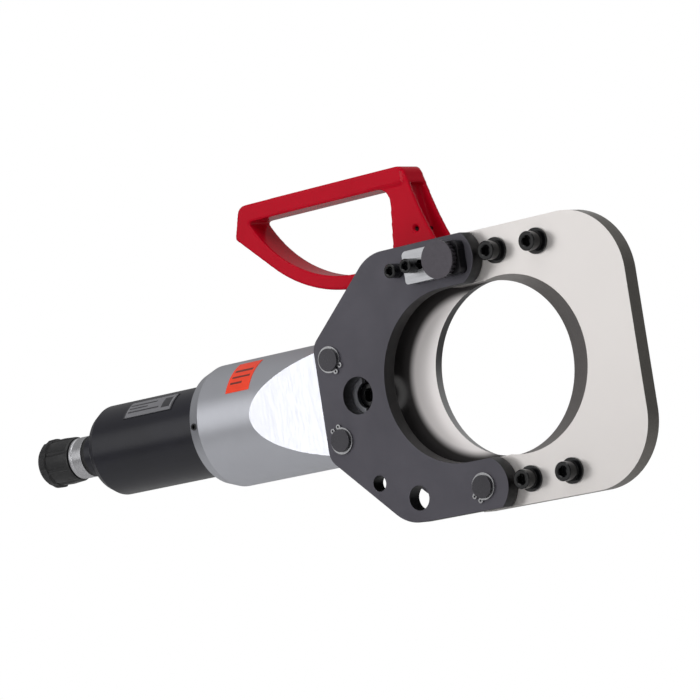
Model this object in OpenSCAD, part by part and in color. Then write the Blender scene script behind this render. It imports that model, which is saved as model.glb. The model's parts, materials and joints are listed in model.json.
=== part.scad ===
// Hydraulic rescue and cable cutter with a swing-open guillotine head.
// X runs along the ram towards the cutting end, -Y is the front and +Z is the handle side.
// The origin is on the ram axis at the centre of the cutting opening.

/* [Cutting opening] */
// Diameter of the round cutting opening
opening_d = 120; // [110:1:122]
// Thickness of the hinged blade frame
frame_t = 13; // [11:0.5:14]
// Thickness of the moving blade
blade_t = 13; // [11:0.5:14]
// How far the fixed bevel leans back at the far end of the opening
bevel_lean = 19.3; // [12:0.1:22]

/* [Blade frame] */
// Far end of the blade frame, from the centre of the opening
frame_end = 121.3; // [116:0.1:126]
// Height of the blade frame
frame_h = 190; // [188:1:194]
// Radius of the two far corners of the blade frame
frame_corner_r = 48; // [40:1:52]
// Height of the frame bolts and of the hinge and latch pins above and below the axis
pin_z = 78.4; // [78:0.1:79]
// First row of frame bolts, from the centre of the opening
bolt_x = 19.3; // [18:0.1:22]
// Spacing of the frame bolts along the frame
bolt_pitch = 34.7; // [32:0.1:38]

/* [Side plates] */
// Thickness of each side plate
plate_t = 11.5; // [10:0.5:12]
// Clear gap between the two side plates
plate_gap = 44; // [43:0.5:46]
// Rear edge of the side plates, behind the centre of the opening
plate_rear = 141.3; // [139:0.1:143]
// Height of the side plates
plate_h = 189; // [187:1:190]
// Hinge and latch pins, behind the centre of the opening
pin_x = 12.8; // [12:0.1:13]
// Diameter of the hinge, latch and body pins
pin_d = 16; // [15:0.5:16]
// Radius of the round throat in the side plates
throat_r = 60; // [59:0.1:60.5]
// Centre of the throat, behind the centre of the opening
throat_x = 23.6; // [22:0.1:25]
// Diameter of the hole that gives a key access to the blade screw
access_d = 26; // [24:0.5:28]
// Diameter of the larger fixing hole through both side plates
large_hole_d = 17; // [16:0.5:18]
// Diameter of the smaller fixing hole through both side plates
small_hole_d = 11; // [10:0.5:12]

/* [Cylinder] */
// Diameter of the front housing
housing_d = 88.4; // [86:0.2:90]
// Diameter of the rear barrel
barrel_d = 66.2; // [65:0.2:68]
// Bore of the hydraulic cylinder
bore_d = 50; // [48:0.5:52]
// Diameter of the piston rod
rod_d = 30; // [29:0.5:30]

/* [Handle] */
// Width of the handle from front to back
handle_w = 24; // [22:0.5:26]

/* [Hidden] */
$fn = 96;

gap = 0.3;                 // clearance between parts that pass each other
fit = 0.05;                // radial clearance of a running fit
over = 1;                  // how far a cutter runs past a face
tangent_gap = 0.01;        // takes a corner circle just past its two edges

plate_in = plate_gap / 2;  // inner face of a side plate
plate_out = plate_in + plate_t;
frame_front = -plate_in + gap;
frame_back = frame_front + frame_t;
blade_front = frame_back + gap;
blade_back = blade_front + blade_t;
opening_r = opening_d / 2;
pin_r = pin_d / 2;
lug_r = 20.6;
frame_lug_r = 20.3;

body_pin_x = 127.6;
body_pin_z = 28.4;
access_x = 108.3;
large_hole = [-69, -77.8];
small_hole = [-101.1, -62.8];

housing_r = housing_d / 2;
housing_rear = -256.5;
wedge_start = -198.5;
tongue_end = -112;
tongue_y = plate_in - gap;
tongue_z = 40;
pocket_z = 18;
pocket_y = 18.2;
barrel_r = barrel_d / 2;
bore_rear = -353;
barrel_rear = -368;
spigot_r = 32.1;
spigot_end = -205;
bush_end = -185;
bore_r = bore_d / 2;
boss_rear = -382;
coupler_rear = -387;
spring_seat = bore_rear - 8.5;
rod_r = rod_d / 2;
rod_rear = -351;
rear_pin_x = bore_rear - 2.6;
front_pin_x = -243;
holder_rear = -150;
piston_front = -329;

knob_r = 13.25;
knob_t = 5;
knob_grooves = 28;
keeper_t = 8;
keeper_front = -plate_out - keeper_t;
keeper_travel = 5.5;
neck_half = 6;
stop_screw = [-57, 78.4];
slide_screw = [-37, 78.4];
collar_t = 3.6;

blade_half_h = 65;
blade_edge_x = 2.5;        // centre of the concave edge at rest
blade_rear = -128;

// ---------- helpers ----------

// A cylinder along Y from y0 to y1, centred on p = [x, z]
module ycyl(r, y0, y1, p = [0, 0]) {
    translate([p[0], y0, p[1]]) rotate([-90, 0, 0]) cylinder(r = r, h = y1 - y0);
}

// A cylinder along X from x0 to x1
module xcyl(r, x0, x1) {
    translate([x0, 0, 0]) rotate([0, 90, 0]) cylinder(r = r, h = x1 - x0);
}

// Extrudes a drawing in X and Z from y0 to y1
module yplate(y0, y1) {
    translate([0, y1, 0]) rotate([90, 0, 0]) linear_extrude(y1 - y0) children();
}

// Turns a profile of [radius, x] points round the X axis
module xturn(profile) {
    rotate([0, 90, 0]) rotate_extrude() polygon(profile);
}

function unit(v) = v / norm(v);

// Fillet data of corner i of a convex outline of [x, z, radius] points
function corner(pts, i) =
    let (n = len(pts),
         p = [pts[i][0], pts[i][1]],
         a = unit([pts[(i + n - 1) % n][0], pts[(i + n - 1) % n][1]] - p),
         b = unit([pts[(i + 1) % n][0], pts[(i + 1) % n][1]] - p),
         half = acos(max(-1, min(1, a * b))) / 2,
         run = pts[i][2] / tan(half))
    [p + a * run, p + b * run, p + unit(a + b) * pts[i][2] / sin(half), pts[i][2]];

// What rounding takes off corner i
module corner_waste(pts, i) {
    c = corner(pts, i);
    tip = [pts[i][0], pts[i][1]];
    difference() {
        polygon([c[0], tip + unit(tip - c[2]), c[1]]);
        translate(c[2]) circle(c[3] + tangent_gap);
    }
}

// A convex outline with true round corners, from [x, z, radius] points
module rounded(pts) {
    difference() {
        polygon([for (p = pts) [p[0], p[1]]]);
        for (i = [0 : len(pts) - 1]) if (pts[i][2] > 0) corner_waste(pts, i);
    }
}

// What rounding takes off the end of a lug of radius r on the pin at height z, on the side s of the pin
module lug_waste(r, z, s) {
    translate([-pin_x, z]) difference() {
        translate([s > 0 ? 0 : -40, -30]) square([40, 60]);
        circle(r);
    }
}

// A box from one corner to the other
module box(a, b) {
    translate(a) cube(b - a);
}

// A socket-head cap screw that points along +Y, with the seat of its head at y = 0
module cap_screw(thread_r, head_r, head_h, len, key_r) {
    socket_depth = head_h * 0.6;
    difference() {
        union() {
            translate([0, -head_h, 0]) rotate([-90, 0, 0]) cylinder(r1 = head_r - 0.6, r2 = head_r, h = 0.6);
            ycyl(head_r, -head_h + 0.6, 0);
            ycyl(thread_r, -over, len);
        }
        translate([0, -head_h - over, 0]) rotate([-90, 30, 0])
            cylinder(r = key_r, h = socket_depth + over, $fn = 6);
        translate([0, -head_h - 0.01, 0]) rotate([-90, 0, 0])
            cylinder(r1 = key_r + 0.3, r2 = key_r * 0.87, h = key_r * 0.13 + 0.3);
    }
}

// A retaining ring in the plane y, with two eyes at the gap
module circlip(p, y, turn = 0) {
    translate([p[0], y, p[1]]) rotate([0, turn, 0]) difference() {
        union() {
            ycyl(9.4, 0, 1.2, [0, 0.3]);
            for (s = [-1, 1]) ycyl(1.9, 0, 1.2, [s * 2.8, -9.2]);
        }
        ycyl(pin_r - 0.6, -over, 2 + over);
        box([-1.1, -over, -14], [1.1, 2 + over, 0]);
        for (s = [-1, 1]) ycyl(0.8, -over, 2 + over, [s * 2.8, -9.4]);
    }
}

// A pin along Y with a ring groove near each end that has a ring
module grooved_pin(y0, y1, grooves) {
    difference() {
        ycyl(pin_r - fit, y0, y1);
        for (g = grooves) difference() {
            ycyl(pin_r + over, g, g + 1.3);
            ycyl(pin_r - 0.6, g - over, g + 2 + over);
        }
    }
}

// ---------- hydraulic cylinder ----------

module cylinder_barrel() {
    color("#35353a") difference() {
        union() {
            xturn([[0, barrel_rear], [barrel_r - 8, barrel_rear], [barrel_r - 3.2, barrel_rear + 3.2],
                   [barrel_r, barrel_rear + 9], [barrel_r, housing_rear], [spigot_r, housing_rear],
                   [spigot_r, spigot_end], [0, spigot_end]]);
            xcyl(16.7, boss_rear, barrel_rear + over);
        }
        xcyl(bore_r, bore_rear, spigot_end + over);
        xcyl(13, spring_seat, bore_rear + over);
        xcyl(8, boss_rear - over, barrel_rear - 3);
        xcyl(4, barrel_rear - 5, bore_rear);
        translate([rear_pin_x, 0, 0]) cylinder(r = 2, h = 32, center = true);
    }
}

// The cylinder with its two slanted flats, and the tongue between the side plates
module housing_envelope() {
    intersection() {
        xturn([[0, housing_rear], [housing_r - 3.2, housing_rear], [housing_r, housing_rear + 9.7],
               [housing_r, tongue_end], [0, tongue_end]]);
        linear_extrude(2 * housing_r, center = true)
            polygon([for (s = [1, -1]) each (s > 0
                ? [[housing_rear, housing_r], [wedge_start, housing_r], [-plate_rear - 0.4, plate_in + 0.8],
                   [-plate_rear - 0.4, tongue_y], [tongue_end, tongue_y]]
                : [[tongue_end, -tongue_y], [-plate_rear - 0.4, -tongue_y],
                   [-plate_rear - 0.4, -plate_in - 0.8], [wedge_start, -housing_r],
                   [housing_rear, -housing_r]])]);
        yplate(-housing_r, housing_r)
            polygon([[housing_rear, housing_r], [-plate_rear - 1, housing_r], [-plate_rear - 1, tongue_z],
                     [tongue_end, tongue_z], [tongue_end, -tongue_z], [-plate_rear - 1, -tongue_z],
                     [-plate_rear - 1, -housing_r], [housing_rear, -housing_r]]);
    }
}

module front_housing() {
    color("#a9acb1") difference() {
        housing_envelope();
        xcyl(spigot_r, housing_rear - over, bush_end);
        xcyl(rod_r + 0.6, bush_end - over, holder_rear);
        box([holder_rear - 10, -pocket_y, -pocket_z], [tongue_end + over, pocket_y, pocket_z]);
        for (s = [1, -1]) ycyl(pin_r, -plate_in - over, plate_in + over, [-body_pin_x, s * body_pin_z]);
        ycyl(9.6, -plate_in - over, 0, [-access_x, 0]);
        lock_screw_place() xcyl(2.5, 30, housing_r + over);
    }
}

// Turns a part drawn along +X so that it points outwards at the lock screw
module lock_screw_place() {
    translate([housing_rear + 5.5, 0, 0]) rotate([-2, 0, 0]) rotate([0, 0, -90]) children();
}

module housing_lock_screw() {
    color("#1c1c1f") lock_screw_place() difference() {
        xcyl(2.5, spigot_r, housing_r - 0.2);
        translate([housing_r - 2.6, 0, 0]) rotate([0, 90, 0]) cylinder(r = 1.5, h = 4, $fn = 6);
    }
}

module rod_bush() {
    color("#b08d4a") difference() {
        xcyl(spigot_r, spigot_end, bush_end);
        xcyl(rod_r + fit, spigot_end - over, bush_end + over);
        xcyl(rod_r + 3, bush_end - 6, bush_end + over);
        difference() {
            xcyl(spigot_r + over, -197, -193);
            xcyl(spigot_r - 3, -197 - over, -193 + over);
        }
    }
}

module rod_wiper() {
    color("#20242c") difference() {
        xcyl(rod_r + 3, bush_end - 6, bush_end);
        xcyl(rod_r + fit, bush_end - 6 - over, bush_end + over);
    }
}

module barrel_o_ring() {
    color("#18181a") difference() {
        xcyl(spigot_r, -197, -193);
        xcyl(spigot_r - 3, -197 - over, -193 + over);
    }
}

module piston_rod() {
    color("#c9ccd0") difference() {
        union() {
            xcyl(rod_r, rod_rear, holder_rear);
            xcyl(9, holder_rear - over, holder_rear + 13);
        }
        xcyl(11.2, rod_rear - over, -168);
        translate([front_pin_x, 0, 0]) cylinder(r = 2, h = 2 * rod_r + 2, center = true);
    }
}

module piston() {
    color("#8f949b") difference() {
        xcyl(bore_r - fit, rod_rear, piston_front);
        xcyl(rod_r, rod_rear - over, piston_front + over);
        for (x = [rod_rear + 4, rod_rear + 14]) difference() {
            xcyl(bore_r + over, x, x + 5);
            xcyl(bore_r - 4, x - over, x + 5 + over);
        }
    }
}

// A ring that fills one groove of the piston
module piston_ring(x) {
    difference() {
        xcyl(bore_r - fit, x, x + 5);
        xcyl(bore_r - 4, x - over, x + 5 + over);
    }
}

module piston_seal() {
    color("#1d3d78") piston_ring(rod_rear + 4);
}

module piston_wear_ring() {
    color("#d8d0b8") piston_ring(rod_rear + 14);
}

spring_wire = 3;
spring_r = 7.8;
loop_r = 8;
// Middle of the loop that hooks over each cross pin
rear_loop_x = rear_pin_x - 2 - spring_wire / 2 - 0.1 + loop_r;
front_loop_x = front_pin_x + 2 + spring_wire / 2 + 0.1 - loop_r;
spring_rear = rear_loop_x + 5;
spring_len = front_loop_x - 5 - spring_rear;
spring_gaps = ceil(spring_len / (spring_wire - 0.05));

module return_spring() {
    color("#8a8d92") {
        rotate([0, 90, 0]) rotate_extrude() for (i = [0 : spring_gaps])
            translate([spring_r, spring_rear + i * spring_len / spring_gaps]) circle(d = spring_wire);
        for (x = [rear_loop_x, front_loop_x])
            translate([x, 0, 0]) rotate_extrude() translate([loop_r, 0]) circle(d = spring_wire);
    }
}

module rear_spring_pin() {
    color("#6f7277") translate([rear_pin_x, 0, 0]) cylinder(r = 2, h = 32, center = true);
}

module front_spring_pin() {
    color("#6f7277") translate([front_pin_x, 0, 0]) cylinder(r = 2, h = 2 * rod_r - 0.6, center = true);
}

// ---------- labels ----------

// A thin sheet that follows a cylinder of radius r between two angles above the front
module wrapped_sheet(r, t, x0, x1, a0, a1) {
    intersection() {
        difference() {
            xcyl(r + t, x0, x1);
            xcyl(r, x0 - over, x1 + over);
        }
        translate([x0 - over, 0, 0]) rotate([90, 0, 90]) linear_extrude(x1 - x0 + 2 * over)
            polygon([[0, 0], for (a = [a0, (a0 + a1) / 2, a1]) 2 * r * [-cos(a), sin(a)]]);
    }
}

module nameplate() {
    color("#8d8c88") wrapped_sheet(barrel_r, 0.4, -330, -283.5, 35, 64.6);
}

module warning_label() {
    color("#d9502b") wrapped_sheet(housing_r, 0.2, -221, -199.5, 27, 66);
}

// ---------- quick coupler ----------

coupler_seat = -399.5;

module coupler_nipple() {
    color("#b9babd") difference() {
        union() {
            xcyl(8, coupler_rear, barrel_rear - 3);
            xturn([[0, coupler_seat], [14.5, coupler_seat], [15.3, coupler_seat + 0.8],
                   [15.3, coupler_seat + 2.6], [14.7, coupler_seat + 3.1], [14.7, coupler_seat + 3.8], [15.3, coupler_seat + 4.3],
                   [15.3, coupler_rear], [0, coupler_rear]]);
            xcyl(12, -412, coupler_seat + over);
            xcyl(9.5, -424, -412 + over);
        }
        xcyl(5.5, -424 - over, -386);
        xcyl(3.5, -388, -360);
    }
}

module coupler_seal() {
    color("#141416") difference() {
        xcyl(14.5, coupler_rear, boss_rear);
        xcyl(8, coupler_rear - over, boss_rear + over);
    }
}

module coupler_poppet() {
    color("#c4a45a") difference() {
        union() {
            xcyl(5.5 - fit, -423.5, -417);
            xcyl(2.4, -418, -400);
        }
        for (a = [0 : 90 : 270]) rotate([a, 0, 0]) translate([-420, 4.9, 0])
            rotate([0, 90, 0]) cylinder(r = 1.2, h = 5);
    }
}

module coupler_spring() {
    color("#8a8d92") rotate([0, 90, 0]) rotate_extrude() union() {
        for (i = [0 : 9]) translate([4.2, -416.2 + i * 2.97]) circle(d = 1.4);
        translate([4.05, -416.2]) square([0.3, 9 * 2.97]);
    }
}

cap_ribs = 8;

module dust_cap() {
    color("#242428") difference() {
        xturn([[0, -430.5], [11.5, -430.5], [15.5, -429], [18, -425.5], [18.2, -421], [16.9, -420.2],
               [17.2, -412], [16.6, -402], [15.8, -400], [0, -400]]);
        xcyl(12 + fit, -412.5, -400 + over);
        xcyl(10, -425.5, -412);
        for (i = [0 : cap_ribs - 1]) rotate([(i + 0.5) * 360 / cap_ribs, 0, 0]) {
            translate([-421, 0, 18.6]) rotate([0, 90, 0]) cylinder(r = 2.6, h = 24);
            translate([-432, 0, 21]) rotate([0, 90, 0]) cylinder(r = 4.4, h = 13);
        }
    }
}

// ---------- side plates ----------

rear_throat_r = throat_r + 4.5;
rear_plate_h = plate_h - 7;

// The outline of a plate of height h, with a throat of radius r
module plate_outline(r, h) {
    difference() {
        rounded([[-plate_rear, -40.3, 13], [-plate_rear, 40.3, 13], [-81.6, h / 2, 32],
                 [lug_r, h / 2, 0], [lug_r, -h / 2, 0], [-81.6, -h / 2, 32]]);
        for (s = [1, -1]) lug_waste(lug_r, s * pin_z, 1);
        translate([-throat_x, 0]) circle(r);
        translate([-throat_x, -r]) square([throat_x + 2 * lug_r, 2 * r]);
    }
}

// The same with the holes that both plates share
module drilled_plate(r, h) {
    difference() {
        plate_outline(r, h);
        for (s = [1, -1]) {
            translate([-body_pin_x, s * body_pin_z]) circle(pin_r);
            translate([-pin_x, s * pin_z]) circle(pin_r);
        }
        translate([-access_x, 0]) circle(access_d / 2);
        translate(large_hole) circle(large_hole_d / 2);
        translate(small_hole) circle(small_hole_d / 2);
        translate(stop_screw) circle(3.1);
    }
}

module front_side_plate() {
    color("#4c4c50") difference() {
        yplate(-plate_out, -plate_in) drilled_plate(throat_r, plate_h);
        ycyl(3, -plate_out - over, -plate_in + over, slide_screw);
    }
}

module rear_side_plate() {
    color("#4c4c50") yplate(plate_in, plate_out) drilled_plate(rear_throat_r, rear_plate_h);
}

module body_pins() {
    color("#5b5b60") for (s = [1, -1]) translate([-body_pin_x, 0, s * body_pin_z]) difference() {
        ycyl(pin_r, -plate_out - 3.2, plate_out + 3.2);
        for (g = [-plate_out - 1.5, plate_out + 0.2]) difference() {
            ycyl(pin_r + over, g, g + 1.3);
            ycyl(pin_r - 0.6, g - over, g + 2 + over);
        }
    }
}

module hinge_pin() {
    color("#5b5b60") translate([-pin_x, 0, -pin_z])
        grooved_pin(-plate_out - 3.2, plate_out + 3.2, [-plate_out - 1.5, plate_out + 0.2]);
}

module pin_circlips() {
    color("#d5d6d8") for (p = [[-body_pin_x, body_pin_z, -43], [-body_pin_x, -body_pin_z, 157],
                               [-pin_x, -pin_z, 39]]) {
        circlip(p, -plate_out - 1.45, p[2]);
        circlip(p, plate_out + 0.25, p[2]);
    }
}

// ---------- handle ----------

arc_centre = [-110, 188];
arc_outer = 112;
arc_inner = 102;
leg_y = 10.8;

// Everything inside the outer edge of the handle
module handle_outer() {
    difference() {
        rounded([[-206.5, 152, 8], [-57, 152.5, 7], [-55, 144, 0], [-38.5, 97, 4], [-35, 68, 6], [-84, 68, 6],
                 [-182, 60, 0], [-213.5, 129, 5]]);
        difference() {
            translate([-190, 50]) square([104, 52.2]);
            translate(arc_centre) circle(arc_outer);
        }
        polygon([[-230, 143.5], [-182, 102.2], [-182, 50], [-240, 50]]);
        // the hollow front edge of the leg
        translate([178.7, 199.5]) circle(240);
    }
}

// The part of the handle that is a little thinner: the leg and the corner above it
module handle_leg() {
    intersection() {
        handle_outer();
        polygon([[-90, 140.5], [-59, 140.5], [-59, 160], [-20, 160], [-20, 60], [-90, 60]]);
    }
}

// The window of the handle, inside the bar and the lower arm
module handle_window() {
    difference() {
        intersection() {
            rounded([[-199.5, 139.5, 5], [-71, 139.5, 10], [-76, 96, 5], [-79, 84, 4], [-140, 80, 5],
                     [-203, 128, 4]]);
            translate(arc_centre) circle(arc_inner);
        }
        polygon([[-215, 143], [-176, 108.5], [-176, 70], [-230, 70]]);
    }
}

module handle() {
    color("#b5152b") difference() {
        union() {
            yplate(-handle_w / 2, handle_w / 2) difference() {
                handle_outer();
                handle_window();
            }
            ycyl(10, -plate_in, plate_in, stop_screw);
        }
        for (s = [-1, 1]) yplate(min(s * leg_y, s * 20), max(s * leg_y, s * 20)) difference() {
            handle_leg();
            translate(stop_screw) circle(10);
        }
        // the channel between the two ridges down the leg
        yplate(-7.4, 7.4) polygon([[-58, 139], [-51, 94], [-20, 94], [-40, 142]]);
        ycyl(2.5, -handle_w / 2 - over, -8.4, [-53.5, 107]);
        for (s = [-1, 1])
            ycyl(3, min(s * 10, s * (plate_in + over)), max(s * 10, s * (plate_in + over)), stop_screw);
    }
}

module handle_screws() {
    color("#202024") for (s = [0, 180])
        translate([stop_screw[0], 0, stop_screw[1]]) rotate([0, 0, s]) translate([0, -plate_out - collar_t, 0])
            cap_screw(3, 5, 6.2, collar_t + plate_t + 10, 3.1);
}

// A plain collar under the head of an M6 screw, with its seat at y = 0
module collar() {
    difference() {
        ycyl(5.1, -collar_t, 0);
        ycyl(3.1, -collar_t - over, over);
    }
}

module screw_collars() {
    color("#2b2b2e") {
        for (s = [0, 180]) translate([stop_screw[0], 0, stop_screw[1]])
            rotate([0, 0, s]) translate([0, -plate_out, 0]) collar();
        translate([slide_screw[0], keeper_front - 0.1, slide_screw[1]]) collar();
    }
}

// ---------- latch ----------

module keeper_plate() {
    color("#b9bbc0") difference() {
        yplate(keeper_front, -plate_out - 0.1)
            rounded([[-46, 66.5, 2.5], [-46, 89.5, 3.5], [2, 89.5, 4], [2, 66.5, 4]]);
        ycyl(8.8, keeper_front - over, -plate_out + over, [-pin_x, pin_z]);
        box([-pin_x, keeper_front - over, pin_z - neck_half - 0.15],
            [-pin_x + keeper_travel + neck_half + 0.3, -plate_out + over, pin_z + neck_half + 0.15]);
        for (x = [0, keeper_travel]) ycyl(3.2, keeper_front - over, -plate_out + over, slide_screw + [x, 0]);
        box([slide_screw[0], keeper_front - over, slide_screw[1] - 3.2],
            [slide_screw[0] + keeper_travel, -plate_out + over, slide_screw[1] + 3.2]);
    }
}

module keeper_screw() {
    color("#202024") translate([slide_screw[0], keeper_front - 0.1 - collar_t, slide_screw[1]])
        cap_screw(3, 5, 6.2, collar_t + keeper_t + plate_t, 3.1);
}

// The quarter-turn pin: two flats let the hooked lugs pass when they lie level
module latch_pin() {
    color("#4a4a4e") translate([-pin_x, 0, pin_z]) difference() {
        union() {
            difference() {
                grooved_pin(-plate_out - 0.1, plate_out + 3.2, [plate_out + 0.2]);
                for (s = [-1, 1]) translate([0, 0, s * (5.5 + 5)])
                    cube([2 * pin_d, 2 * (plate_in - 0.3), 10], center = true);
            }
            box([-neck_half, keeper_front - 0.2, -neck_half], [neck_half, -plate_out, neck_half]);
            ycyl(knob_r, keeper_front - 0.2 - knob_t, keeper_front - 0.2);
        }
        for (i = [0 : knob_grooves - 1]) rotate([0, i * 360 / knob_grooves, 0])
            ycyl(0.9, keeper_front - knob_t + 1, keeper_front, [knob_r + 0.2, 0]);
    }
}

module latch_circlip() {
    color("#d5d6d8") circlip([-pin_x, pin_z], plate_out + 0.25, -60);
}

// ---------- swing-open blade frame ----------

// The seat of the latch pin and its mouth, which opens backwards
module latch_seat() {
    translate([-pin_x, pin_z]) {
        circle(pin_r + fit);
        polygon([[2, 5.8], [-26, 5.8], [-26, -8.8], [-6, -5.9], [2, -5.8]]);
    }
}

module frame_outline() {
    difference() {
        rounded([[-2 * lug_r, -frame_h / 2, 0], [-2 * lug_r, frame_h / 2, 0],
                 [frame_end, frame_h / 2, frame_corner_r], [frame_end, -frame_h / 2, frame_corner_r]]);
        for (s = [1, -1]) lug_waste(frame_lug_r, s * pin_z, -1);
        circle(opening_r);
        translate([-60, -opening_r]) square([60, 2 * opening_r]);
        translate([-pin_x, -pin_z]) circle(pin_r);
        latch_seat();
    }
}

module blade_frame() {
    color("#d8d4cf") difference() {
        yplate(frame_front, frame_back) frame_outline();
        hull() {
            ycyl(opening_r + 1.2, frame_front - 0.02, frame_front, [bevel_lean, 0]);
            ycyl(opening_r, frame_back, frame_back + 0.02);
        }
        each_bolt() ycyl(4.3, frame_front - over, frame_back + over);
    }
}

// Repeats a part at each of the four frame bolts
module each_bolt() {
    for (x = [bolt_x, bolt_x + bolt_pitch], s = [1, -1]) translate([x, 0, s * pin_z]) children();
}

guide_top = blade_half_h + gap;
guide_edge = 90.5;
guide_end = 72;
lip_edge = 63;
lip_back = blade_back + gap + 8;

// One guide block, drawn for the lower side: rail, lip behind the blade and pin boss
module guide_block() {
    difference() {
        union() {
            yplate(frame_back, blade_back + gap) union() {
                translate([-pin_x, -pin_z]) circle(13);
                translate([-pin_x, -guide_edge]) square([guide_end + pin_x, guide_edge - guide_top]);
            }
            yplate(blade_back + gap, lip_back)
                rounded([[-pin_x, -guide_edge, 0], [guide_end, -guide_edge, 10], [guide_end, -lip_edge, 6],
                         [-pin_x, -lip_edge, 0]]);
            yplate(blade_back + gap, plate_in - gap) intersection() {
                union() {
                    translate([-pin_x, -pin_z]) circle(frame_lug_r);
                    translate([-pin_x, -guide_edge]) square([22, guide_edge - lip_edge]);
                }
                translate([-60, -guide_edge]) square([120, guide_edge - lip_edge]);
            }
        }
        for (x = [bolt_x, bolt_x + bolt_pitch]) ycyl(4, frame_back - over, lip_back - 1, [x, -pin_z]);
    }
}

module lower_guide_block() {
    color("#77777c") difference() {
        guide_block();
        ycyl(pin_r, frame_back - over, plate_in + over, [-pin_x, -pin_z]);
    }
}

module upper_guide_block() {
    color("#77777c") difference() {
        mirror([0, 0, 1]) guide_block();
        yplate(frame_back - over, plate_in + over) latch_seat();
    }
}

flat_t = 1.8;
lock_t = 2.2;

module frame_flat_washers() {
    color("#2a2a2c") each_bolt() difference() {
        ycyl(9, frame_front - flat_t, frame_front);
        ycyl(4.3, frame_front - flat_t - over, frame_front + over);
    }
}

module frame_spring_washers() {
    color("#1f1f21") each_bolt() rotate([0, -50, 0]) difference() {
        ycyl(7.1, frame_front - flat_t - lock_t, frame_front - flat_t);
        ycyl(4.3, frame_front - flat_t - lock_t - over, frame_front);
        box([-0.5, frame_front - 8, 0], [0.5, frame_front, 9]);
    }
}

module frame_bolts() {
    color("#202024") each_bolt() translate([0, frame_front - flat_t - lock_t, 0])
        cap_screw(4, 6.7, 8.2, 33, 3.9);
}

// ---------- ram and moving blade ----------

module moving_blade() {
    color("#cfcac5") difference() {
        yplate(blade_front, blade_back) difference() {
            polygon([[blade_edge_x, 62], [-10, blade_half_h], [-76, blade_half_h], [-107, 17.4],
                     [blade_rear, 17.4], [blade_rear, -17.4], [-107, -17.4], [-76, -blade_half_h],
                     [-10, -blade_half_h], [blade_edge_x, -62]]);
            translate([blade_edge_x, 0]) circle(opening_r);
        }
        hull() {
            ycyl(opening_r, blade_front - 0.02, blade_front, [blade_edge_x, 0]);
            ycyl(opening_r + 1.5, blade_back, blade_back + 0.02, [blade_edge_x - 3.1, 0]);
        }
        ycyl(5.3, blade_front - over, blade_back + over, [-access_x, 0]);
    }
}

module blade_holder() {
    color("#66666b") difference() {
        union() {
            box([holder_rear, blade_back, -17.4], [-94, 17.6, 17.4]);
            box([holder_rear, -14, -17.4], [blade_rear - 0.1, 17.6, 17.4]);
        }
        xcyl(9, holder_rear - over, holder_rear + 14);
        ycyl(5, blade_back - over, 17.6 + over, [-access_x, 0]);
    }
}

module blade_screw_washer() {
    color("#1f1f21") translate([-access_x, 0, 0]) difference() {
        ycyl(8.6, blade_front - 2, blade_front);
        ycyl(5.3, blade_front - 2 - over, blade_front + over);
    }
}

module blade_screw() {
    color("#202024") translate([-access_x, blade_front - 2, 0]) cap_screw(5, 8, 10, 24, 4.6);
}

// ---------- what is drawn ----------

cylinder_barrel();
front_housing();
front_side_plate();
rear_side_plate();
body_pins();
hinge_pin();
pin_circlips();
housing_lock_screw();
nameplate();
warning_label();
coupler_nipple();
coupler_seal();
coupler_poppet();
coupler_spring();
dust_cap();
handle();
handle_screws();
screw_collars();
keeper_plate();
keeper_screw();
latch_pin();
latch_circlip();
blade_frame();
upper_guide_block();
lower_guide_block();
frame_bolts();
frame_spring_washers();
frame_flat_washers();
moving_blade();
blade_holder();
blade_screw();
blade_screw_washer();
piston_rod();
piston();
piston_seal();
piston_wear_ring();
rod_bush();
rod_wiper();
barrel_o_ring();
return_spring();
rear_spring_pin();
front_spring_pin();
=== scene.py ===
"""Looks of the hydraulic rescue cutter: edges, materials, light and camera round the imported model."""

import json
import math

import bpy
from mathutils import Matrix, Vector

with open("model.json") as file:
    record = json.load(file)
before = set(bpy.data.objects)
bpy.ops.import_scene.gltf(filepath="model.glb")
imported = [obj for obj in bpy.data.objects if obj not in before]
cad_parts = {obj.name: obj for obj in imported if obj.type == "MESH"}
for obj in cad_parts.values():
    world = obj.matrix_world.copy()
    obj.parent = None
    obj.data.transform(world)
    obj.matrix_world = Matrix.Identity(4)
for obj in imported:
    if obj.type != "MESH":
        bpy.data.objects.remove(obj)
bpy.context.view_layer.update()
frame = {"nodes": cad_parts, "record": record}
nodes = frame["nodes"]

# ---------- camera ----------

AZIMUTH = math.radians(38.12)  # round the object from its front
ELEVATION = math.radians(-4.69)  # the camera looks slightly upwards
ROLL = math.radians(8.8)
LENS_MM, SENSOR_MM = 230.7, 36
CLIP_START, CLIP_END = 0.05, 100
CAMERA_PLACE = Vector((1.8036, -2.4708, -0.2220))


def add_camera():
    back = Vector(
        (
            math.sin(AZIMUTH) * math.cos(ELEVATION),
            -math.cos(AZIMUTH) * math.cos(ELEVATION),
            math.sin(ELEVATION),
        )
    )
    level = Vector((math.cos(AZIMUTH), math.sin(AZIMUTH), 0))
    above = back.cross(level)
    right = math.cos(ROLL) * level - math.sin(ROLL) * above
    up = math.sin(ROLL) * level + math.cos(ROLL) * above
    data = bpy.data.cameras.new("camera")
    data.lens, data.sensor_width = LENS_MM, SENSOR_MM
    data.clip_start, data.clip_end = CLIP_START, CLIP_END
    camera = bpy.data.objects.new("camera", data)
    bpy.context.scene.collection.objects.link(camera)
    turn = Matrix((right, up, back)).transposed().to_4x4()
    camera.matrix_world = Matrix.Translation(CAMERA_PLACE) @ turn
    bpy.context.scene.camera = camera


# ---------- node material kit ----------


COLOR_INPUTS, COLOR_OUTPUT = slice(6, 8), 2  # of a Mix node, whose sockets share their names
NOISE_ROUGH = 0.55
EDGE_DOT = (0.80, 0.985)  # cosine between the rounded and the plain normal, on an edge and off it


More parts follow.
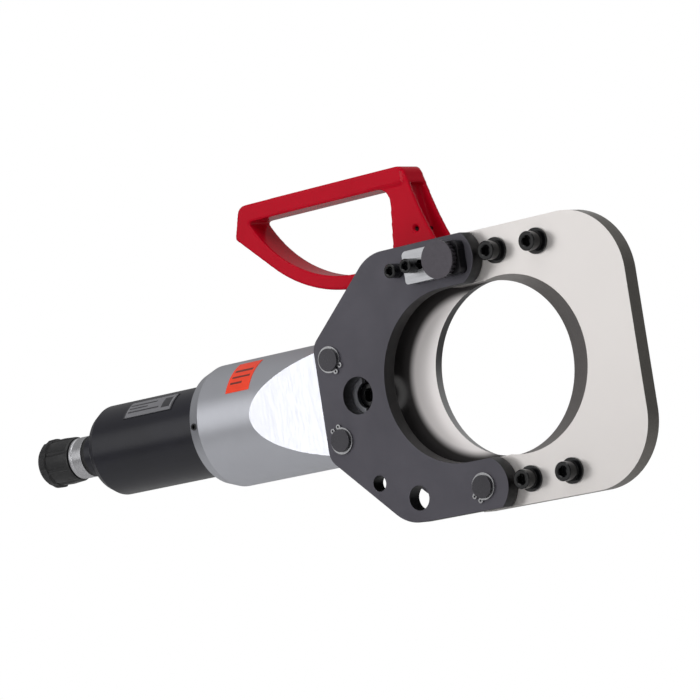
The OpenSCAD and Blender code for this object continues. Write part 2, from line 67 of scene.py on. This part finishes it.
class Shader:
    """A Principled material with short ways to add nodes. Most methods take and return output sockets."""

    def __init__(self, name, color, rough, metal=0.0, **inputs):
        self.mat = bpy.data.materials.new(name)
        self.mat.use_nodes = True
        self.tree = self.mat.node_tree
        self.bsdf = self.tree.nodes["Principled BSDF"]
        self.color, self.rough = color, rough
        self.set("Base Color", (*color, 1))
        self.set("Roughness", rough)
        self.set("Metallic", metal)
        for key, value in inputs.items():
            self.set(key.replace("_", " "), value)
        own = self.node("ShaderNodeTexCoord")
        self.place, self.facing = own.outputs["Object"], own.outputs["Normal"]

    def set(self, key, value):
        self.bsdf.inputs[key].default_value = value

    def node(self, kind, **settings):
        made = self.tree.nodes.new(kind)
        for key, value in settings.items():
            setattr(made, key, value)
        return made

    def link(self, output, socket):
        self.tree.links.new(output, socket)

    def math(self, operation, a, b=None, clamp=False):
        made = self.node("ShaderNodeMath", operation=operation, use_clamp=clamp)
        for value, socket in zip((a, b), made.inputs):
            if isinstance(value, (int, float)):
                socket.default_value = value
            elif value is not None:
                self.link(value, socket)
        return made.outputs[0]

    def stretched(self, scale):
        made = self.node("ShaderNodeVectorMath", operation="MULTIPLY")
        self.link(self.place, made.inputs[0])
        made.inputs[1].default_value = scale
        return made.outputs[0]

    def axes(self, vector=None):
        """The x, y and z of a vector, or else of the place on the part."""
        made = self.node("ShaderNodeSeparateXYZ")
        self.link(vector or self.place, made.inputs[0])
        return made.outputs

    def noise(self, scale, detail=3.0, stretch=None):
        made = self.node("ShaderNodeTexNoise")
        made.inputs["Scale"].default_value = scale
        made.inputs["Detail"].default_value = detail
        made.inputs["Roughness"].default_value = NOISE_ROUGH
        self.link(self.stretched(stretch) if stretch else self.place, made.inputs["Vector"])
        return made.outputs["Fac"]

    def ramp(self, value, low, high, to_low=0.0, to_high=1.0, kind="SMOOTHSTEP"):
        """Runs from one level to another while the value goes from low to high, and stays level outside."""
        made = self.node("ShaderNodeMapRange", interpolation_type=kind)
        made.inputs["From Min"].default_value, made.inputs["From Max"].default_value = low, high
        made.inputs["To Min"].default_value, made.inputs["To Max"].default_value = to_low, to_high
        self.link(value, made.inputs["Value"])
        return made.outputs["Result"]

    def band(self, value, low, high):
        """1 between low and high, 0 outside."""
        above, below = self.math("GREATER_THAN", value, low), self.math("LESS_THAN", value, high)
        return self.math("MULTIPLY", above, below)

    def mix(self, share, a, b):
        """Goes from a to b, each of them a colour or a socket."""
        made = self.node("ShaderNodeMix", data_type="RGBA")
        self.link(share, made.inputs["Factor"])
        for value, socket in zip((a, b), made.inputs[COLOR_INPUTS]):
            if isinstance(value, tuple):
                socket.default_value = (*value, 1)
            else:
                self.link(value, socket)
        return made.outputs[COLOR_OUTPUT]

    def tint(self, amount, scale, detail=4.0):
        """Makes the base colour wander by a share either way."""
        low = tuple(c * (1 - amount) for c in self.color)
        high = tuple(c * (1 + amount) for c in self.color)
        share = self.ramp(self.noise(scale, detail), 0.3, 0.7)
        self.paint(self.mix(share, low, high))

    def paint(self, color):
        """Makes a socket the base colour, and keeps it for later layers."""
        self.tinted = color
        self.link(color, self.bsdf.inputs["Base Color"])

    def vary_rough(self, amount, scale, stretch=None):
        """Makes the roughness wander by an amount either way."""
        smoother, rougher = self.rough - amount, self.rough + amount
        value = self.ramp(self.noise(scale, 4, stretch), 0.25, 0.75, smoother, rougher)
        self.link(value, self.bsdf.inputs["Roughness"])

    def bump(self, height, depth, strength=1.0):
        """Adds fine relief, depth metres high, on top of the relief there already."""
        made = self.node("ShaderNodeBump")
        made.inputs["Strength"].default_value = strength
        made.inputs["Distance"].default_value = depth
        self.link(height, made.inputs["Height"])
        if self.bsdf.inputs["Normal"].is_linked:
            self.link(self.bsdf.inputs["Normal"].links[0].from_socket, made.inputs["Normal"])
        self.link(made.outputs[0], self.bsdf.inputs["Normal"])

    def side_share(self, low=0.45, high=0.75):
        """1 on the cut edges of a plate that lies square to the Y axis, 0 on its two faces."""
        return self.ramp(self.math("ABSOLUTE", self.axes(self.facing)[1]), low, high, 1, 0)

    def distance_from(self, x0, z0):
        """Distance from the line along Y through x0, z0."""
        x, y, z = self.axes()
        squares = [self.math("POWER", self.math("SUBTRACT", v, v0), 2) for v, v0 in ((x, x0), (z, z0))]
        return self.math("SQRT", self.math("ADD", *squares))

    def edge_mask(self, radius):
        """1 on outer and inner edges, 0 on flat ground."""
        rounded = self.node("ShaderNodeBevel", samples=6)
        rounded.inputs["Radius"].default_value = radius
        plain = self.node("ShaderNodeNewGeometry").outputs["Normal"]
        dot = self.node("ShaderNodeVectorMath", operation="DOT_PRODUCT")
        self.link(rounded.outputs[0], dot.inputs[0])
        self.link(plain, dot.inputs[1])
        return self.ramp(dot.outputs["Value"], *EDGE_DOT, 1, 0)

    def wear(self, radius, color, share, scale=180):
        """Rubs the colour off along edges, in patches."""
        patches = self.ramp(self.noise(scale, 5), 0.42, 0.62)
        amount = self.math("MULTIPLY", self.edge_mask(radius), self.math("MULTIPLY", patches, share))
        self.paint(self.mix(amount, self.tinted, color))


def machined(name, color, rough, stretch, metal=1.0, lines=0.000012, tint=0.06):
    """Metal with tool marks that run across the axis with the largest stretch."""
    s = Shader(name, color, rough, metal)
    s.tint(tint, 14, 5)
    s.vary_rough(0.07, 1.0, stretch)
    s.bump(s.noise(1.0, 2, stretch), lines)
    return s


# ---------- materials ----------

BLADE = (0.79, 0.755, 0.735)
MOVING_BLADE = (0.97, 0.925, 0.915)
BORE_CUT = (0.40, 0.375, 0.365)
EDGE_CUT = (0.200, 0.188, 0.172)
# near black on the cut walls of the moving blade: painted shade
MOVING_BLADE_CUT_SHADE = (0.022, 0.021, 0.021)
PLATE_REFLECTION_PAINT = (0.045, 0.042, 0.042)
THROAT_X = -0.0236  # centre of the round throat in the side plates
PLATE_REFLECTION_EDGE = (0.0515, 0.0585)  # distance from there at which the painted reflection and shade of the side plates starts and is full
CUT_ROUGH, CUT_METAL = 0.40, 0.85


def blade_steel(name, color, rough, metal, bore, edge):
    """Finely ground faces, and darker colours on the walls where the bore and the outer edge were cut:
    darker metal on the fixed blade, painted shade on the moving blade.
    """
    s = Shader(name, color, rough, metal)
    s.tint(0.015, 7, 4)
    patches = s.ramp(s.noise(900, 4), 0.3, 0.7)
    cuts = []
    for cut in (bore, edge):
        low, high = (tuple(c * level for c in cut) for level in (0.92, 1.08))
        cuts.append(s.mix(patches, low, high))
    outward = s.ramp(s.axes(s.facing)[0], -0.3, 0.3)
    side = s.side_share(0.88, 0.95)
    s.paint(s.mix(side, s.tinted, s.mix(outward, *cuts)))
    s.link(s.ramp(side, 0, 1, rough, CUT_ROUGH), s.bsdf.inputs["Roughness"])
    s.link(s.ramp(side, 0, 1, metal, CUT_METAL), s.bsdf.inputs["Metallic"])
    s.bump(s.noise(1, 2, (60, 60, 2400)), 0.0000008)
    s.bump(s.noise(1600, 3), 0.000004, 0.5)
    return s


def moving_blade_steel():
    """The steel of a blade, with a painted dark reflection and shade of the side plates on the part that
    runs between them.
    """
    # the cut walls of the moving blade get near black, as painted shade
    s = blade_steel("moving_blade_steel", MOVING_BLADE, 0.24, 0.25, MOVING_BLADE_CUT_SHADE, MOVING_BLADE_CUT_SHADE)
    # painted reflection and shade of the side plates, darker towards their throat
    plate_reflection = s.ramp(s.distance_from(THROAT_X, 0), *PLATE_REFLECTION_EDGE)
    s.paint(s.mix(plate_reflection, s.tinted, PLATE_REFLECTION_PAINT))
    return s


def plate_steel():
    """Blackened plate: the cut edges are darker than the faces."""
    s = Shader("plate_steel", (0.092, 0.088, 0.105), 0.45, 0.5)
    s.tint(0.10, 16, 6)
    s.vary_rough(0.06, 60)
    s.wear(0.0006, (0.26, 0.255, 0.26), 0.35)
    s.paint(s.mix(s.side_share(), s.tinted, (0.008, 0.0078, 0.0085)))
    s.bump(s.noise(2300, 3), 0.00002, 0.7)
    return s


LEG_HOLE_X, LEG_HOLE_Z = -0.0535, 0.107  # the small blind hole in the leg of the handle
LEG_HOLE_EDGE = (0.0013, 0.0021)  # distance from its axis at which its shadow fades


def red_paint():
    """Gloss paint on a casting, with the shadow in the blind hole."""
    s = Shader("handle_paint", (0.52, 0.0025, 0.017), 0.17, 0.0, Specular_IOR_Level=0.09)
    s.tint(0.04, 12, 3)
    hole = s.ramp(s.distance_from(LEG_HOLE_X, LEG_HOLE_Z), *LEG_HOLE_EDGE, 1, 0)
    s.paint(s.mix(hole, s.tinted, (0.02, 0.0005, 0.001)))
    s.vary_rough(0.04, 60)
    s.bump(s.noise(300, 2), 0.00004, 0.4)
    s.bump(s.noise(45, 2), 0.0002, 0.3)
    return s


def barrel_paint():
    """Black paint over a turned tube."""
    s = Shader("barrel_paint", (0.005, 0.005, 0.011), 0.30, 0.0, Specular_IOR_Level=0.55)
    s.tint(0.12, 24, 4)
    s.vary_rough(0.02, 70)
    s.bump(s.noise(1, 2, (3200, 60, 60)), 0.000003)
    s.bump(s.noise(1700, 3), 0.000006, 0.6)
    return s


def housing_aluminium():
    """Bare aluminium with fine turning marks."""
    s = Shader("housing_aluminium", (0.59, 0.60, 0.645), 0.39, 1.0)
    s.tint(0.025, 10, 5)
    s.vary_rough(0.03, 1, (900, 90, 90))
    s.bump(s.noise(1, 2, (3600, 400, 400)), 0.0000015, 0.5)
    s.bump(s.noise(1500, 3), 0.000004, 0.4)
    return s


def black_screw():
    """Black screws, with bare metal showing here and there on their edges."""
    s = Shader("screw_black", (0.0025, 0.0025, 0.003), 0.16, 0.0, Specular_IOR_Level=0.36)
    s.tint(0.25, 160, 5)
    s.vary_rough(0.04, 400)
    s.wear(0.0003, (0.12, 0.12, 0.12), 0.35, 600)
    s.bump(s.noise(2600, 3), 0.000006, 0.5)
    return s


def moulded_black():
    """Moulded plastic with a fine grain."""
    s = Shader("cap_plastic", (0.012, 0.012, 0.013), 0.42)
    s.tint(0.2, 70, 4)
    s.vary_rough(0.08, 220)
    s.bump(s.noise(2200, 4), 0.00006, 0.7)
    return s


LATCH_X, LATCH_Z = -0.0128, 0.0784  # axis of the latch pin
KEEPER_SHADE_FADE = 0.004  # half the width over which the painted shade on the keeper fades in
TURNING_RINGS = 9000  # radians of the ring wave per metre from the axis


def keeper_steel():
    """Brushed zinc plate, with painted shade on the end that lies behind the knob."""
    s = machined("keeper_steel", (0.52, 0.525, 0.545), 0.33, (40, 40, 2200), lines=0.00002)
    knob_shade = s.ramp(s.axes()[0], LATCH_X - KEEPER_SHADE_FADE, LATCH_X + KEEPER_SHADE_FADE)
    # painted shadow and dark reflection of the knob on the far end of the keeper
    s.paint(s.mix(knob_shade, s.tinted, (0.035, 0.034, 0.037)))
    return s


def turned_steel():
    """Blackened steel with turning rings round the axis of the latch pin."""
    s = Shader("latch_steel", (0.085, 0.078, 0.09), 0.33, 0.7)
    s.tint(0.05, 300, 4)
    rings = s.math("SINE", s.math("MULTIPLY", s.distance_from(LATCH_X, LATCH_Z), TURNING_RINGS))
    s.bump(rings, 0.000012, 0.6)
    s.vary_rough(0.06, 500)
    s.bump(s.noise(2300, 3), 0.00001, 0.5)
    return s


def rubber():
    """Dull black rubber."""
    s = Shader("seal_rubber", (0.012, 0.012, 0.013), 0.6)
    s.tint(0.25, 120, 4)
    s.vary_rough(0.1, 300)
    s.bump(s.noise(1900, 4), 0.00005, 0.7)
    return s


# where the foils lie along the barrel, and how far up from the front, in degrees
NAMEPLATE_X, NAMEPLATE_DEGREES = (-0.330, -0.2835), (35, 64.6)
WARNING_X, WARNING_DEGREES = (-0.221, -0.1995), (27, 66)


def foil(name, ink, ground, bars, x_range, degrees_range, border=0.0):
    """A printed foil on the barrel, with plain bars and no lettering.

    A bar is (left, right, low, high) in shares of the foil, and so is the width of the border.
    """
    s = Shader(name, ground, 0.42, 0.0, Specular_IOR_Level=0.3, Coat_Weight=0.1, Coat_Roughness=0.25)
    s.tint(0.06, 60, 4)
    x, y, z = s.axes()
    turn = s.math("ARCTAN2", z, s.math("MULTIPLY", y, -1))
    along = s.ramp(x, *x_range, kind="LINEAR")
    across = s.ramp(turn, *(math.radians(a) for a in degrees_range), kind="LINEAR")
    printed = None
    for left, right, low, high in bars:
        inside = s.math("MULTIPLY", s.band(along, left, right), s.band(across, low, high))
        printed = inside if printed is None else s.math("MAXIMUM", printed, inside)
    if border > 0:
        field = s.math("MULTIPLY", s.band(along, border, 1 - border), s.band(across, border, 1 - border))
        printed = s.math("MAXIMUM", printed, s.math("SUBTRACT", 1, field, clamp=True))
    s.paint(s.mix(printed, s.tinted, ink))
    s.vary_rough(0.06, 150)
    s.bump(s.noise(900, 3), 0.00001, 0.5)
    return s


def grey_label():
    """The nameplate: a dark border, three lines and a block."""
    lines = [(0.06, 0.60, 0.66, 0.76), (0.06, 0.44, 0.46, 0.54), (0.06, 0.70, 0.26, 0.34)]
    block = (0.76, 0.93, 0.2, 0.8)
    ink, ground = (0.040, 0.040, 0.045), (0.20, 0.20, 0.215)
    return foil("label_grey", ink, ground, [*lines, block], NAMEPLATE_X, NAMEPLATE_DEGREES, border=0.03)


def orange_label():
    """The warning label: three lines and no border."""
    lines = [(0.12, 0.88, 0.60, 0.68), (0.12, 0.88, 0.40, 0.46), (0.12, 0.62, 0.22, 0.28)]
    ink, ground = (0.16, 0.03, 0.02), (0.95, 0.062, 0.022)
    return foil("label_orange", ink, ground, lines, WARNING_X, WARNING_DEGREES)


MATERIALS = {
    "barrel_paint": barrel_paint(),
    "housing_aluminium": housing_aluminium(),
    "plate_steel": plate_steel(),
    "pin_steel": machined("pin_steel", (0.075, 0.073, 0.08), 0.33, (900, 900, 900), tint=0.12),
    "ring_steel": machined("ring_steel", (0.36, 0.36, 0.37), 0.26, (300, 300, 300)),
    "label_grey": grey_label(),
    "label_orange": orange_label(),
    "coupler_steel": machined("coupler_steel", (0.58, 0.58, 0.60), 0.3, (3000, 60, 60)),
    "seal_rubber": rubber(),
    "poppet_brass": machined("poppet_brass", (0.62, 0.44, 0.17), 0.25, (1800, 60, 60)),
    "spring_steel": machined("spring_steel", (0.3, 0.3, 0.31), 0.33, (400, 400, 400)),
    "cap_plastic": moulded_black(),
    "handle_paint": red_paint(),
    "screw_black": black_screw(),
    "keeper_steel": keeper_steel(),
    "latch_steel": turned_steel(),
    "blade_steel": blade_steel("blade_steel", BLADE, 0.28, 0.65, BORE_CUT, EDGE_CUT),
    "guide_steel": machined("guide_steel", (0.22, 0.22, 0.23), 0.38, (50, 50, 1500), tint=0.1),
    "rod_chrome": machined("rod_chrome", (0.78, 0.79, 0.8), 0.1, (2500, 40, 40), lines=0.000004),
    "seal_blue": machined("seal_blue", (0.03, 0.075, 0.28), 0.45, (500, 500, 500), metal=0.0, tint=0.1),
    "bearing_ivory": machined("bearing_ivory", (0.62, 0.57, 0.43), 0.5, (500, 500, 500), metal=0.0),
    "bush_bronze": machined("bush_bronze", (0.52, 0.34, 0.13), 0.34, (2400, 60, 60)),
}

MOVING_BLADE_STEEL = moving_blade_steel()

# ---------- edges of the machined parts ----------

# rounding of the edges in metres, and how many faces across it
EDGE = {
    "front_side_plate": (0.0007, 3),
    "rear_side_plate": (0.0007, 3),
    "blade_frame": (0.00035, 2),
    "moving_blade": (0.00012, 1),
    "cylinder_barrel": (0.0008, 3),
    "keeper_plate": (0.0002, 2),
    "dust_cap": (0.0007, 3),
    "latch_pin": (0.00035, 2),
}
SMALL_EDGE = (0.0002, 2)  # for all others
SHARP_DEGREES = 28  # an edge that turns more than this is rounded
FLAT_DEGREES = 0.4  # faces that meet at less than this become one
WELD_REACH = 0.000002
CAST = {"handle"}
CAST_GRID = 0.0009
CAST_SMOOTHING = (0.5, 9)  # share of each pass, and passes
PLAIN = {"front_housing", "return_spring", "coupler_spring", "warning_label", "nameplate"}


def soften(obj):
    """Rounds every edge and corner, as on a painted casting."""
    grid = obj.modifiers.new("grid", "REMESH")
    grid.mode = "VOXEL"
    grid.voxel_size = CAST_GRID
    grid.use_smooth_shade = True
    smooth = obj.modifiers.new("smooth", "SMOOTH")
    smooth.factor, smooth.iterations = CAST_SMOOTHING


def round_edges(name, obj):
    """Rounds the sharp edges of a node, apart from the plain ones, whose own shading already suits them."""
    if name in PLAIN:
        return
    mesh = obj.data
    custom = mesh.attributes.get("custom_normal")
    if custom is not None:
        mesh.attributes.remove(custom)
    mesh.shade_smooth()
    if name in CAST:
        soften(obj)
        return
    weld = obj.modifiers.new("weld", "WELD")
    weld.merge_threshold = WELD_REACH
    flat = obj.modifiers.new("flat", "DECIMATE")
    flat.decimate_type = "DISSOLVE"
    flat.angle_limit = math.radians(FLAT_DEGREES)
    width, segments = EDGE.get(name, SMALL_EDGE)
    bevel = obj.modifiers.new("edge", "BEVEL")
    bevel.width, bevel.segments = width, segments
    bevel.limit_method = "ANGLE"
    bevel.angle_limit = math.radians(SHARP_DEGREES)
    bevel.miter_outer = "MITER_ARC"
    normals = obj.modifiers.new("normals", "WEIGHTED_NORMAL")
    normals.mode = "FACE_AREA"
    normals.keep_sharp = False


slots = {row["node"]: row["material_slot"] for row in frame["record"]["subparts"]}
for name, obj in nodes.items():
    round_edges(name, obj)
    for slot in obj.material_slots:
        slot.material = MATERIALS[slots[name]].mat
for slot in nodes["moving_blade"].material_slots:
    slot.material = MOVING_BLADE_STEEL.mat

# ---------- studio ----------

FLOOR_Z = -0.62
FLOOR_RADIUS = 9.0
FLOOR_SIDES = 64
# grey of the sky, by height from 0 straight below to 1 straight above
GLOW = [(0.0, 0.08), (0.42, 0.12), (0.55, 0.18), (0.8, 0.32), (1.0, 0.42)]
# place and size in metres, and power in watts; each light faces the origin
LIGHTS = {
    "front_softbox": ((0.12, -1.75, 0.12), (0.75, 0.8), 6.9),
    "left_softbox": ((-1.25, -1.65, 0.55), (1.2, 1.35), 4.9),
    "top_softbox": ((0.1, -0.9, 1.3), (1.2, 0.8), 6.3),
    "right_softbox": ((1.6, -0.3, 0.5), (0.8, 1.2), 1.4),
    "back_softbox": ((-0.3, 1.9, 0.5), (1.4, 1.0), 5),
    "ceiling": ((0, 0, 3.2), (3, 3), 14),
}


def add_floor():
    mesh = bpy.data.meshes.new("studio_floor")
    turns = [2 * math.pi * i / FLOOR_SIDES for i in range(FLOOR_SIDES)]
    points = [(FLOOR_RADIUS * math.cos(t), FLOOR_RADIUS * math.sin(t), FLOOR_Z) for t in turns]
    mesh.from_pydata(points, [], [tuple(range(FLOOR_SIDES))])
    floor = bpy.data.objects.new("studio_floor", mesh)
    bpy.context.scene.collection.objects.link(floor)
    s = Shader("studio_floor", (0.80, 0.80, 0.80), 0.8)
    s.tint(0.01, 3)
    mesh.materials.append(s.mat)


def add_light(name, place, size, power):
    data = bpy.data.lights.new(name, "AREA")
    data.shape = "RECTANGLE"
    data.size, data.size_y = size
    data.energy = power
    light = bpy.data.objects.new(name, data)
    bpy.context.scene.collection.objects.link(light)
    light.location = place
    aim = Vector((0, 0, 0)) - Vector(place)
    light.rotation_euler = aim.to_track_quat("-Z", "Y").to_euler()


def add_world():
    """White to the camera, and a soft grey sky to the object, brighter towards the top."""
    world = bpy.data.worlds.new("studio")
    bpy.context.scene.world = world
    world.use_nodes = True
    tree = world.node_tree
    tree.nodes.clear()
    kinds = ("OutputWorld", "MixShader", "Background", "Background", "LightPath", "TexCoord", "SeparateXYZ")
    out, mix, shown, lit, ray, place, split = (tree.nodes.new("ShaderNode" + kind) for kind in kinds)
    shown.inputs["Color"].default_value = (1, 1, 1, 1)
    shown.inputs["Strength"].default_value = lit.inputs["Strength"].default_value = 1.0
    height = tree.nodes.new("ShaderNodeMapRange")
    height.inputs["From Min"].default_value, height.inputs["From Max"].default_value = -1, 1
    ramp = tree.nodes.new("ShaderNodeValToRGB")
    steps = ramp.color_ramp.elements
    while len(steps) < len(GLOW):
        steps.new(0.5)
    for step, (at, level) in zip(steps, GLOW):
        step.position = at
        step.color = (level, level, level, 1)
    links = (
        (place.outputs["Generated"], split.inputs[0]),
        (split.outputs["Z"], height.inputs["Value"]),
        (height.outputs[0], ramp.inputs[0]),
        (ramp.outputs["Color"], lit.inputs["Color"]),
        (ray.outputs["Is Camera Ray"], mix.inputs[0]),
        (lit.outputs[0], mix.inputs[1]),
        (shown.outputs[0], mix.inputs[2]),
        (mix.outputs[0], out.inputs["Surface"]),
    )
    for output, socket in links:
        tree.links.new(output, socket)


add_camera()
add_floor()
add_world()
for name, (place, size, power) in LIGHTS.items():
    add_light(name, place, size, power)
bpy.context.scene.view_settings.view_transform = "Standard"
